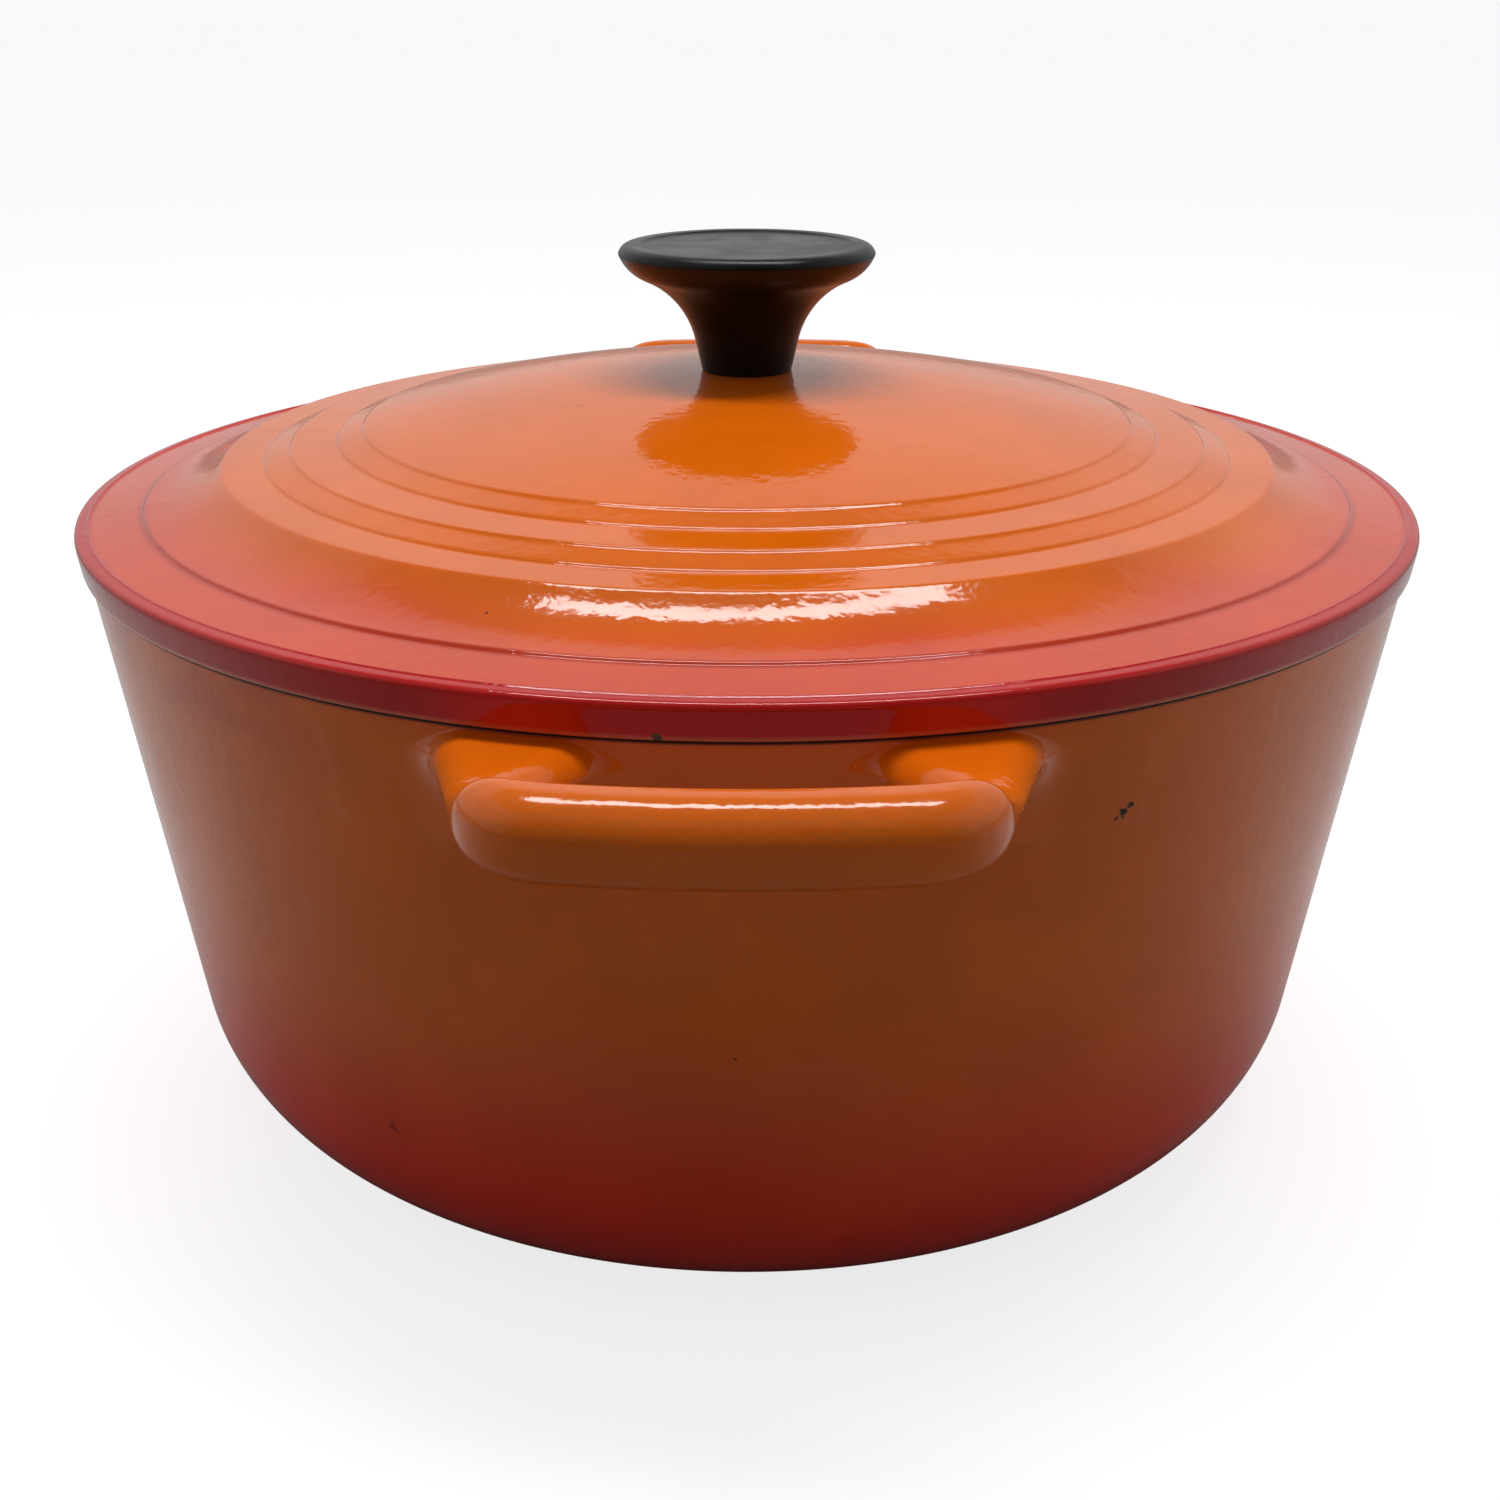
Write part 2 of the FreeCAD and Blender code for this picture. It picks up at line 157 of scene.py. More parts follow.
# Knob
KNOB_TOP = cad_high.z / MM - 0.03
KNOB_BASE_RADIUS = 8.8
KNOB_NECK = (10.4, 151.7)
KNOB_FLARE = (13.95, 158.15)
KNOB_UNDERSIDE = (20.4, 162.7)
KNOB_SHOULDER = (23.6, 165.0)
KNOB_WIDEST = (25.0, 167.4)
KNOB_BROW = (24.3, 168.6)
KNOB_TOP_RADIUS = 22.4
KNOB_RECESS_RADII = (20.9, 20.3)
KNOB_RECESS_DEPTH = 0.4
KNOB_SEGMENTS = 256
KNOB_SPACING = 0.04
KNOB_STEM_SOFTNESS = 0.8
KNOB_RECESS_SOFTNESS = 0.2
INSERT_RADIUS = 4.5
INSERT_TOP = 157.8
INSERT_CLEARANCE = 0.02

# Camera, in metres, radians and millimetres of lens
CAMERA_DISTANCE = 0.38494
CAMERA_HEIGHT = 0.21772
CAMERA_PITCH = 0.380
CAMERA_TURN = 0.0122
CAMERA_LENS = 46.53
CAMERA_SENSOR = 36
CAMERA_SHIFT = (0.0021, -0.0017)
CAMERA_CLIP = (0.01, 200)

# Light and surroundings, in metres and watts. Levels are radiances of the surroundings.
BAR_LIGHT_PLACE = (0.02, 0.06, 1.15)
BAR_LIGHT_TARGET = (0, -0.05, 0.12)
BAR_LIGHT_SIZE = (0.85, 0.19)
BAR_LIGHT_POWER = 6.8
FRONT_LEVEL = 0.11
SIDE_LEVEL = 0.52
BACK_EXTRA = 0.24
LOW_BACK_SHARE = 0.3
OVERHEAD_LEVEL = 0.25
FLOOR_REACH = 60.0
FLOOR_SEGMENTS = 96
FLOOR_GLOW = 0.80
FLOOR_PALE = (0.40, 0.40, 0.40, 1)
FLOOR_FRONT_SHADE = (0.26, 0.26, 0.26)
FLOOR_BACK = (0.70, 0.70, 0.70)


# ---------------------------------------------------------------- outlines

def arc_between(start, end, centre, count):
    """Points along the shorter arc about a centre."""
    first = math.atan2(start[1] - centre[1], start[0] - centre[0])
    turn = math.atan2(end[1] - centre[1], end[0] - centre[0]) - first
    turn = (turn + math.pi) % (2 * math.pi) - math.pi
    radius = math.dist(start, centre)
    angles = first + turn * np.linspace(0, 1, count)
    return [(centre[0] + radius * math.cos(a), centre[1] + radius * math.sin(a)) for a in angles]


def arc_through(start, middle, end, count=24):
    """Points along the arc through three points."""
    (ax, ay), (bx, by), (cx, cy) = start, middle, end
    cross = 2 * (ax * (by - cy) + bx * (cy - ay) + cx * (ay - by))
    sa, sb, sc = ax * ax + ay * ay, bx * bx + by * by, cx * cx + cy * cy
    centre = (
        (sa * (by - cy) + sb * (cy - ay) + sc * (ay - by)) / cross,
        (sa * (cx - bx) + sb * (ax - cx) + sc * (bx - ax)) / cross,
    )
    return arc_between(start, end, centre, count)


def rounded_corner(last, corner, following, radius, count=16):
    """Points along the arc that rounds a corner between two straight lines."""
    last, corner, following = (np.array(p, float) for p in (last, corner, following))
    to_last = (last - corner) / np.linalg.norm(last - corner)
    to_next = (following - corner) / np.linalg.norm(following - corner)
    half = math.acos(float(np.clip(to_last @ to_next, -1, 1))) / 2
    reach = radius / math.tan(half)
    middle = (to_last + to_next) / np.linalg.norm(to_last + to_next)
    centre = corner + middle * radius / math.sin(half)
    return arc_between(tuple(corner + to_last * reach), tuple(corner + to_next * reach), tuple(centre), count)


def rounded_path(corners):
    """Points through ((x, y), radius) corners. A radius of 0 leaves a corner sharp."""
    places = [p for p, _ in corners]
    path = [places[0]]
    for last, (corner, radius), following in zip(places, corners[1:], places[2:]):
        path += rounded_corner(last, corner, following, radius) if radius else [corner]
    return path + [places[-1]]


def into_circle(line_start, line_end, circle_radius, radius):
    """Points along the arc that rounds a straight line into a circle about the origin."""
    along = np.subtract(line_end, line_start) / math.dist(line_end, line_start)
    outward = np.array((-along[1], along[0]))
    level = outward @ line_start - radius
    reach = math.sqrt((circle_radius - radius) ** 2 - level ** 2)
    centre = outward * level + along * reach
    end = centre / np.linalg.norm(centre) * circle_radius
    return arc_between(tuple(centre + outward * radius), tuple(end), tuple(centre), 20)


def mirrored_plan(corners, circle_radius, corner_radius):
    """A closed plan: straight sides with rounded corners, and a round front about the pot's axis."""
    corner = into_circle(corners[-2][0], corners[-1][0], circle_radius, corner_radius)
    half = rounded_path(corners[:-1] + [(corner[0], 0)]) + corner[1:]
    half += arc_between(corner[-1], (circle_radius, 0), (0, 0), 40)[1:]
    return half + [(x, -y) for x, y in half[-2:0:-1]]


# ---------------------------------------------------------------- signed distances, in millimetres

def smooth_step(t):
    t = np.clip(t, 0, 1)
    return t * t * (3 - 2 * t)


def rounded_overlap(a, b, radius):
    """Signed distance to what two solids share, with the edge between them rounded."""
    beyond = np.hypot(np.maximum(a + radius, 0), np.maximum(b + radius, 0))
    return beyond + np.minimum(np.maximum(a + radius, b + radius), 0) - radius


def rounded_union(a, b, radius):
    """Signed distance to two joined solids, with a fillet where they meet."""
    return -rounded_overlap(-a, -b, radius)


class OutlineDistance:
    """Signed distance to a closed flat outline, looked up on a grid."""

    STEP = 0.25

    def __init__(self, outline, low, high):
        self.low = np.array(low, float)
        counts = [int(round((h - l) / self.STEP)) + 1 for l, h in zip(low, high)]
        u, v = np.meshgrid(*(l + self.STEP * np.arange(n) for l, n in zip(low, counts)), indexing="ij")
        nearest = np.full(u.shape, np.inf)
        inside = np.zeros(u.shape, bool)
        for (ax, ay), (bx, by) in zip(outline, outline[1:] + outline[:1]):
            length = (bx - ax) ** 2 + (by - ay) ** 2
            if length < 1e-12:
                continue
            t = np.clip(((u - ax) * (bx - ax) + (v - ay) * (by - ay)) / length, 0, 1)
            nearest = np.minimum(nearest, np.hypot(u - ax - t * (bx - ax), v - ay - t * (by - ay)))
            if ay != by:
                inside ^= ((ay > v) != (by > v)) & (u < ax + (v - ay) * (bx - ax) / (by - ay))
        self.values = np.where(inside, -nearest, nearest)

    def __call__(self, u, v):
        i, s = self.cell(u, 0)
        j, t = self.cell(v, 1)
        values = self.values
        lower = values[i, j] * (1 - t) + values[i, j + 1] * t
        upper = values[i + 1, j] * (1 - t) + values[i + 1, j + 1] * t
        return lower * (1 - s) + upper * s

    def cell(self, x, axis):
        last = self.values.shape[axis] - 1
        x = np.clip((x - self.low[axis]) / self.STEP, 0, last - 1e-6)
        whole = x.astype(int)
        return whole, x - whole


def outer_wall_radius(height):
    return POT_RIM_RADIUS - (POT_HEIGHT - height) * math.tan(WALL_TAPER)


def inner_wall_radius(height):
    return outer_wall_radius(height) - WALL / math.cos(WALL_TAPER)


def cup(r, z, wall_radius, floor, corner):
    """Signed distance to a filled cup: a level floor, a round corner and the tapered wall."""
    centre_z = floor + corner
    centre_r = wall_radius(centre_z) - corner / math.cos(WALL_TAPER)
    flat = np.maximum((r - wall_radius(z)) * math.cos(WALL_TAPER), floor - z)
    below_wall = (r - centre_r) * math.sin(WALL_TAPER) + (z - centre_z) * math.cos(WALL_TAPER) < 0
    rounded = np.hypot(r - centre_r, z - centre_z) - corner
    return np.where((r > centre_r) & below_wall, rounded, flat)


def handle_section():
    """The handle's section along the radius. Its front is left long, because the plan cuts it."""
    beyond = HANDLE_REACH + 12
    outline = rounded_path([
        ((HANDLE_BACK_RADIUS, LUG_BLEND_BOTTOM), 0),
        ((HANDLE_BACK_RADIUS, SHELF_HEIGHT), 0),
        ((RAMP_FOOT_RADIUS, SHELF_HEIGHT), RAMP_BEND),
        ((RAMP_TOP_RADIUS, BAR_TOP), RAMP_BEND),
        ((beyond, BAR_TOP), 0),
        ((beyond, BAR_BOTTOM), 0),
        ((BAR_INNER_RADIUS, BAR_BOTTOM), WALL_BLEND),
        ((outer_wall_radius(LUG_BOTTOM), LUG_BOTTOM), WALL_BLEND),
        ((outer_wall_radius(LUG_BLEND_BOTTOM), LUG_BLEND_BOTTOM), 0),
    ])
    return OutlineDistance(outline, (HANDLE_BACK_RADIUS - 6, LUG_BLEND_BOTTOM - 8), (beyond, BAR_TOP + 8))


def side_meets(circle_radius):
    """Where the handle's straight side meets a circle about the pot's axis."""
    half_width = LUG_WAIST_HALF_WIDTH
    for _ in range(30):
        x = math.sqrt(circle_radius ** 2 - half_width ** 2)
        half_width = LUG_WAIST_HALF_WIDTH - (x - LUG_WAIST_RADIUS) * LUG_SIDE_SLOPE
    return x, half_width


def handle_plan():
    """The handle from above: sides that flare into the wall, and a front that follows the pot round."""
    root = side_meets(HANDLE_ROOT_RADIUS)
    angle = math.atan2(root[1], root[0])
    around = 2 * WALL_BLEND
    inward = 0.25 * WALL_BLEND
    flare_end = (
        root[0] - math.sin(angle) * around - math.cos(angle) * inward,
        root[1] + math.cos(angle) * around - math.sin(angle) * inward,
    )
    back = flare_end[0] - 2 * WALL_BLEND
    outline = mirrored_plan([
        ((back, 0), 0),
        ((back, flare_end[1]), 0),
        (flare_end, 0),
        (root, WALL_BLEND),
        (side_meets(HANDLE_REACH), 0),
    ], HANDLE_REACH, BAR_CORNER_RADIUS)
    return OutlineDistance(outline, (back - 4, 0), (HANDLE_REACH + 6, flare_end[1] + 6))


def gap_plan():
    """The finger gap from above: it widens from the wall to the bar."""
    slope = (GAP_HALF_WIDTH - GAP_WALL_HALF_WIDTH) / (GAP_WIDE_RADIUS - outer_wall_radius(SHELF_HEIGHT))
    back = HANDLE_ROOT_RADIUS - 10
    outline = mirrored_plan([
        ((back, 0), 0),
        ((back, GAP_HALF_WIDTH - (GAP_WIDE_RADIUS - back) * slope), 0),
        ((GAP_WIDE_RADIUS, GAP_HALF_WIDTH), GAP_CORNER_RADIUS),
        ((BAR_INNER_RADIUS, GAP_HALF_WIDTH), 0),
    ], BAR_INNER_RADIUS, GAP_CORNER_RADIUS)
    return OutlineDistance(outline, (back - 4, 0), (HANDLE_REACH + 6, GAP_HALF_WIDTH + 16))


class PotSolid:
    """The pot as one signed distance, with every edge and meeting rounded as thick enamel leaves it."""

    def __init__(self):
        self.section = handle_section()
        self.plan = handle_plan()
        self.gap = gap_plan()

    def outer(self, r, z):
        solid = cup(r, z, outer_wall_radius, 0, CORNER_RADIUS)
        return rounded_overlap(solid, z - POT_HEIGHT, RIM_ROUND)

    def handle(self, x, y, r, z):
        plan = np.maximum(self.plan(np.abs(y), np.abs(x)), -self.gap(np.abs(y), np.abs(x)))
        crown = smooth_step((z - BAR_BOTTOM - 3) / 5)
        edge = BAR_UNDER_ROUND + (BAR_CROWN_ROUND - BAR_UNDER_ROUND) * crown
        return rounded_overlap(self.section(r, z), plan, edge)

    def __call__(self, x, y, z):
        r = np.hypot(x, y)
        below_shelf = smooth_step((SHELF_HEIGHT - 0.5 - z) / FILLET_CHANGE)
        fillet = SHELF_FILLET + (ROOT_FILLET - SHELF_FILLET) * below_shelf
        solid = rounded_union(self.outer(r, z), self.handle(x, y, r, z), fillet)
        cavity = cup(r, z, inner_wall_radius, FLOOR, INNER_CORNER_RADIUS)
        solid = rounded_overlap(solid, -cavity, RIM_ROUND)
        recess_side = (r - FOOT_RECESS_RADIUS - 2 * (FOOT_RECESS_DEPTH - z)) / math.sqrt(5)
        recess = np.maximum(z - FOOT_RECESS_DEPTH, recess_side)
        return rounded_overlap(solid, -recess, FOOT_RECESS_ROUND)


# ---------------------------------------------------------------- the pot's mesh

def spaced(*stretches):
    """Grid positions from (start, end, step) stretches that follow on from each other."""
    places = [np.linspace(a, b, int(round((b - a) / step)), endpoint=False) for a, b, step in stretches]
    return np.append(np.concatenate(places), stretches[-1][1])


def quarter_angles():
    """Angles from the handle's middle to the pot's side. Each end lies half a step in."""
    places = [HANDLE_TURN / 2]
    while places[-1] < 90:
        share = smooth_step((places[-1] - HANDLE_TURN_END) / TURN_CHANGE)
        places.append(places[-1] + HANDLE_TURN + (SIDE_TURN - HANDLE_TURN) * share)
    places = np.array(places[:-1])
    last_gap = places[-1] - places[-2]
    scale = (90 - last_gap / 2 - places[0]) / (places[-1] - places[0])
    return np.radians(places[0] + (places - places[0]) * scale)


def active_cells(inside):
    """The grid cells that the surface passes through, as three index arrays."""
    count = np.zeros((inside.shape[0], inside.shape[1] - 1, inside.shape[2] - 1), np.uint8)
    for turned in (inside, np.roll(inside, -1, 0)):
        for di in (0, 1):
            for dj in (0, 1):
                count += turned[:, di:di + count.shape[1], dj:dj + count.shape[2]]
    return np.nonzero((count > 0) & (count < 8))


def cell_points(field, cells, angle, radius, height):
    """One point in each cell: the middle of the places where the surface crosses the cell's edges."""
    t, i, j = cells
    next_t = (t + 1) % len(angle)
    step = (angle[next_t] - angle[t]) % (2 * math.pi)
    corners = [(a, b, c) for a in (0, 1) for b in (0, 1) for c in (0, 1)]
    value = {(a, b, c): field[next_t if a else t, i + b, j + c] for a, b, c in corners}
    total = np.zeros((len(t), 3))
    crossings = np.zeros(len(t))
    for corner in corners:
        for axis in range(3):
            if corner[axis]:
                continue
            other = tuple(1 if k == axis else corner[k] for k in range(3))
            first, second = value[corner], value[other]
            crossed = (first < 0) != (second < 0)
            share = np.where(crossed, first / np.where(crossed, first - second, 1), 0)
            place = np.array(corner, float)[None, :].repeat(len(t), 0)
            place[:, axis] = share
            total += place * crossed[:, None]
            crossings += crossed
    place = total / crossings[:, None]
    angles = angle[t] + place[:, 0] * step
    radii = radius[i] + place[:, 1] * (radius[i + 1] - radius[i])
    heights = height[j] + place[:, 2] * (height[j + 1] - height[j])
    return np.stack([radii * np.sin(angles), radii * np.cos(angles), heights], 1)


def crossing_quads(inside, number):
    """A face across every grid edge that the surface crosses, as four cell numbers each."""
    quads = []
    before = np.roll(number, 1, 0)
    upright = inside[:, 1:-1, :-1] != inside[:, 1:-1, 1:]
    t, i, j = np.nonzero(upright)
    quads.append(np.stack([before[t, i, j], number[t, i, j], number[t, i + 1, j], before[t, i + 1, j]], 1))
    outward = inside[:, :-1, 1:-1] != inside[:, 1:, 1:-1]
    t, i, j = np.nonzero(outward)
    quads.append(np.stack([before[t, i, j], number[t, i, j], number[t, i, j + 1], before[t, i, j + 1]], 1))
    around = inside[:, 1:-1, 1:-1] != np.roll(inside, -1, 0)[:, 1:-1, 1:-1]
    t, i, j = np.nonzero(around)
    corners = [number[t, i, j], number[t, i + 1, j], number[t, i + 1, j + 1], number[t, i, j + 1]]
    quads.append(np.stack(corners, 1))
    return np.concatenate(quads)


def gradient(solid, points):
    nudge = 0.01
    slopes = []
    for axis in range(3):
        step = np.zeros(3)
        step[axis] = nudge
        slopes.append((solid(*(points + step).T) - solid(*(points - step).T)) / (2 * nudge))
    return np.stack(slopes, 1)


def onto_surface(solid, points):
    """Points moved along the distance's slope until they lie on the surface."""
    for _ in range(NEWTON_STEPS):
        slope = gradient(solid, points)
        steepness = np.maximum((slope ** 2).sum(1), 0.25)
        points = points - slope * (solid(*points.T) / steepness)[:, None]
    return points


def closed_middle(points, rings, pole_height):
    """Rings and a pole that close a level disc, as new points and faces."""
    new_points, faces = [], []
    outer = rings
    start = len(points)
    for share in DISC_SHARES:
        ring = points[rings] * (share, share, 0) + (0, 0, pole_height)
        inner = start + np.arange(len(rings))
        new_points.append(ring)
        faces.append(np.stack([outer, np.roll(outer, -1), np.roll(inner, -1), inner], 1))
        outer = inner
        start += len(rings)
    new_points.append(np.array([[0.0, 0.0, pole_height]]))
    fan = np.stack([outer, np.roll(outer, -1), np.full(len(rings), start)], 1)
    return np.concatenate([points] + new_points), np.concatenate(faces), fan


def outward_faces(points, faces, slopes):
    """Faces turned so that they face the way the distance grows."""
    a, b, c = points[faces[:, 0]], points[faces[:, 1]], points[faces[:, 2]]
    normal = np.cross(b - a, c - a)
    if faces.shape[1] == 4:
        normal = np.cross(c - a, points[faces[:, 3]] - b)
    wrong = (normal * slopes[faces[:, 0]]).sum(1) < 0
    faces[wrong] = faces[wrong][:, ::-1]
    return faces


def mesh_object(name, points, faces):
    """A smooth-shaded object from points in millimetres."""
    mesh = bpy.data.meshes.new(name)
    mesh.from_pydata((points * MM).tolist(), [], faces)
    mesh.shade_smooth()
    piece = bpy.data.objects.new(name, mesh)
    bpy.context.scene.collection.objects.link(piece)
    return piece


def set_attribute(piece, name, values):
    attribute = piece.data.attributes.new(name, "FLOAT", "POINT")
    attribute.data.foreach_set("value", np.asarray(values, np.float32))


def make_pot():
    """The pot's surface, found on a polar grid and moved onto the exact shape."""
    solid = PotSolid()
    quarter = quarter_angles()
    angle = np.concatenate([quarter, math.pi - quarter[::-1], math.pi + quarter, 2 * math.pi - quarter[::-1]])
    radius = spaced(*RADIUS_STRETCHES)
    height = spaced(*LOW_STRETCHES, *HIGH_STRETCHES)
    t, r, z = np.meshgrid(quarter, radius, height, indexing="ij")
    field = solid(r * np.sin(t), r * np.cos(t), z)
    field = np.concatenate([field, field[::-1], field, field[::-1]])
    inside = field < 0
    cells = active_cells(inside)
    number = np.full((inside.shape[0], inside.shape[1] - 1, inside.shape[2] - 1), -1)
    number[cells] = np.arange(len(cells[0]))
    points = onto_surface(solid, cell_points(field, cells, angle, radius, height))
    quads = crossing_quads(inside, number)
    fans = []
    for level in (FLOOR, FOOT_RECESS_DEPTH):
        row = np.searchsorted(height, level) - 1
        points, rings, fan = closed_middle(points, number[:, 0, row], level)
        quads = np.concatenate([quads, rings])
        fans.append(fan)
    slopes = gradient(solid, points)
    quads = outward_faces(points, quads, slopes)
    fans = outward_faces(points, np.concatenate(fans), slopes)
    piece = mesh_object("pot", points, quads.tolist() + fans.tolist())
    x, y, z = points.T
    depth = -cup(np.hypot(x, y), z, outer_wall_radius, 0, CORNER_RADIUS)
    lining = smooth_step((depth - LINING_START) / LINING_FADE) * (z > FLOOR - 1)
    near_top = smooth_step((z - BARE_RIM_START) / BARE_RIM_FADE)
    set_attribute(piece, "lining", lining)
    set_attribute(piece, "bare_rim", near_top * (np.hypot(x, y) < BARE_RIM_REACH) * (1 - lining))
    return piece


# ---------------------------------------------------------------- turned pieces

def dense_outline(stretches, spacing):
    """Even points along (points, softness, tag) stretches, with each point's softness and tag."""
    columns = []
    for points, softness, tag in stretches:
        columns += [(x, y, softness, tag) for x, y in points]
    table = np.array(columns, float)
    along = np.concatenate([[0], np.cumsum(np.hypot(*np.diff(table[:, :2], axis=0).T))])
    keep = np.append(True, np.diff(along) > 1e-9)
    places = np.linspace(0, along[-1], int(along[-1] / spacing) + 1)
    return np.stack([np.interp(places, along[keep], column) for column in table[keep].T], 1)


def softened(table, spacing, closed):
    """The outline with its corners rounded, as far as each point's softness says."""
    points, softness, tags = table[:, :2].copy(), table[:, 2], table[:, 3:].copy()
    rounds = int(math.ceil((softness.max() / spacing) ** 2 * 2))
    share = ((softness / spacing) ** 2 / rounds)[:, None]
    state = np.hstack([points, tags])
    for _ in range(rounds):
        mean = (np.roll(state, 1, 0) + np.roll(state, -1, 0)) / 2
        change = share * (mean - state)
        if not closed:
            change[[0, -1]] = 0
        state = state + change
    return state


def by_turning(state, closed, longest_step, turn_step):
    """Fewer points along the outline: close together where it turns, far apart where it's straight."""
    if closed:
        state = np.vstack([state, state[:1]])
    steps = np.diff(state[:, :2], axis=0)
    lengths = np.hypot(*steps.T)
    heading = np.unwrap(np.arctan2(steps[:, 1], steps[:, 0]))
    turning = np.abs(np.gradient(heading)) / lengths
    window = np.hanning(41)
    padded = np.pad(turning, len(window) // 2, mode="wrap" if closed else "edge")
    turning = np.convolve(padded, window / window.sum(), "valid")
    weight = np.concatenate([[0], np.cumsum(lengths * (1 / longest_step + turning / turn_step))])
    places = np.linspace(0, weight[-1], int(weight[-1]) + 1)
    thinned = np.stack([np.interp(places, weight, column) for column in state.T], 1)
    return thinned[:-1] if closed else thinned


def turned_piece(name, state, segments, closed):
    """An outline of radii and heights turned about the pot's axis. An open one ends on the axis."""
    ring = state if closed else state[1:-1]
    angles = np.linspace(0, 2 * math.pi, segments, endpoint=False)
    r, z = ring[:, 0][None, :], ring[:, 1][None, :]
    x, y = r * np.cos(angles)[:, None], r * np.sin(angles)[:, None]
    points = np.stack([x, y, np.broadcast_to(z, x.shape)], 2).reshape(-1, 3)
    count = len(ring)
    number = np.arange(segments * count).reshape(segments, count)
    after = np.roll(number, -1, 0)
    following = np.roll(number, -1, 1), np.roll(after, -1, 1)
    quads = np.stack([number, after, following[1], following[0]], 2)
    if not closed:
        quads = quads[:, :-1]
    faces = quads.reshape(-1, 4).tolist()
    if not closed:
        points = np.vstack([points, [0, 0, state[0, 1]], [0, 0, state[-1, 1]]])
        first, last = len(points) - 2, len(points) - 1
        faces += [[first, int(after[k, 0]), int(number[k, 0])] for k in range(segments)]
        faces += [[last, int(number[k, -1]), int(after[k, -1])] for k in range(segments)]
    area = np.sum(state[:-1, 0] * state[1:, 1] - state[1:, 0] * state[:-1, 1])
    if area < 0:
        faces = [face[::-1] for face in faces]
    return mesh_object(name, points, faces)


def dome_centre():
    """The height of the centre of the dome between the knob's seat and the innermost crest."""
    crest_radius, crest_height = INNER_CRESTS[0]
    difference = KNOB_SEAT_RADIUS ** 2 + KNOB_SEAT_HEIGHT ** 2 - crest_radius ** 2 - crest_height ** 2
    return difference / (2 * (KNOB_SEAT_HEIGHT - crest_height))


def sagging(start, end, sag):
    """Points along a hollow arc whose middle lies below its chord."""
    length = math.dist(start, end)
    across = ((end[1] - start[1]) / length, -(end[0] - start[0]) / length)
    middle = ((start[0] + end[0]) / 2 + across[0] * sag, (start[1] + end[1]) / 2 + across[1] * sag)
    return arc_through(start, middle, end)


def ring_corners():
    """Each inner crest and the foot of its drop, from the middle outwards, then the outer crest."""
    corners = []
    for radius, height in INNER_CRESTS:
        corners += [(radius, height), (radius + RING_RUN, height - RING_DROP)]
    return corners + [OUTER_CREST]


def lipped(corners):
    """Corners with a small steep lip just outside each. The outline meets the next corner from its chord."""
    path = []
    for corner, following in zip(corners, corners[1:]):
        slope = (corner[1] - following[1]) / (following[0] - corner[0])
        path += [
            corner,
            (corner[0] + RING_LIP, corner[1] - RING_LIP),
            (following[0] - RING_HOLD, following[1] + RING_HOLD * slope),
        ]
    return path + [corners[-1]]


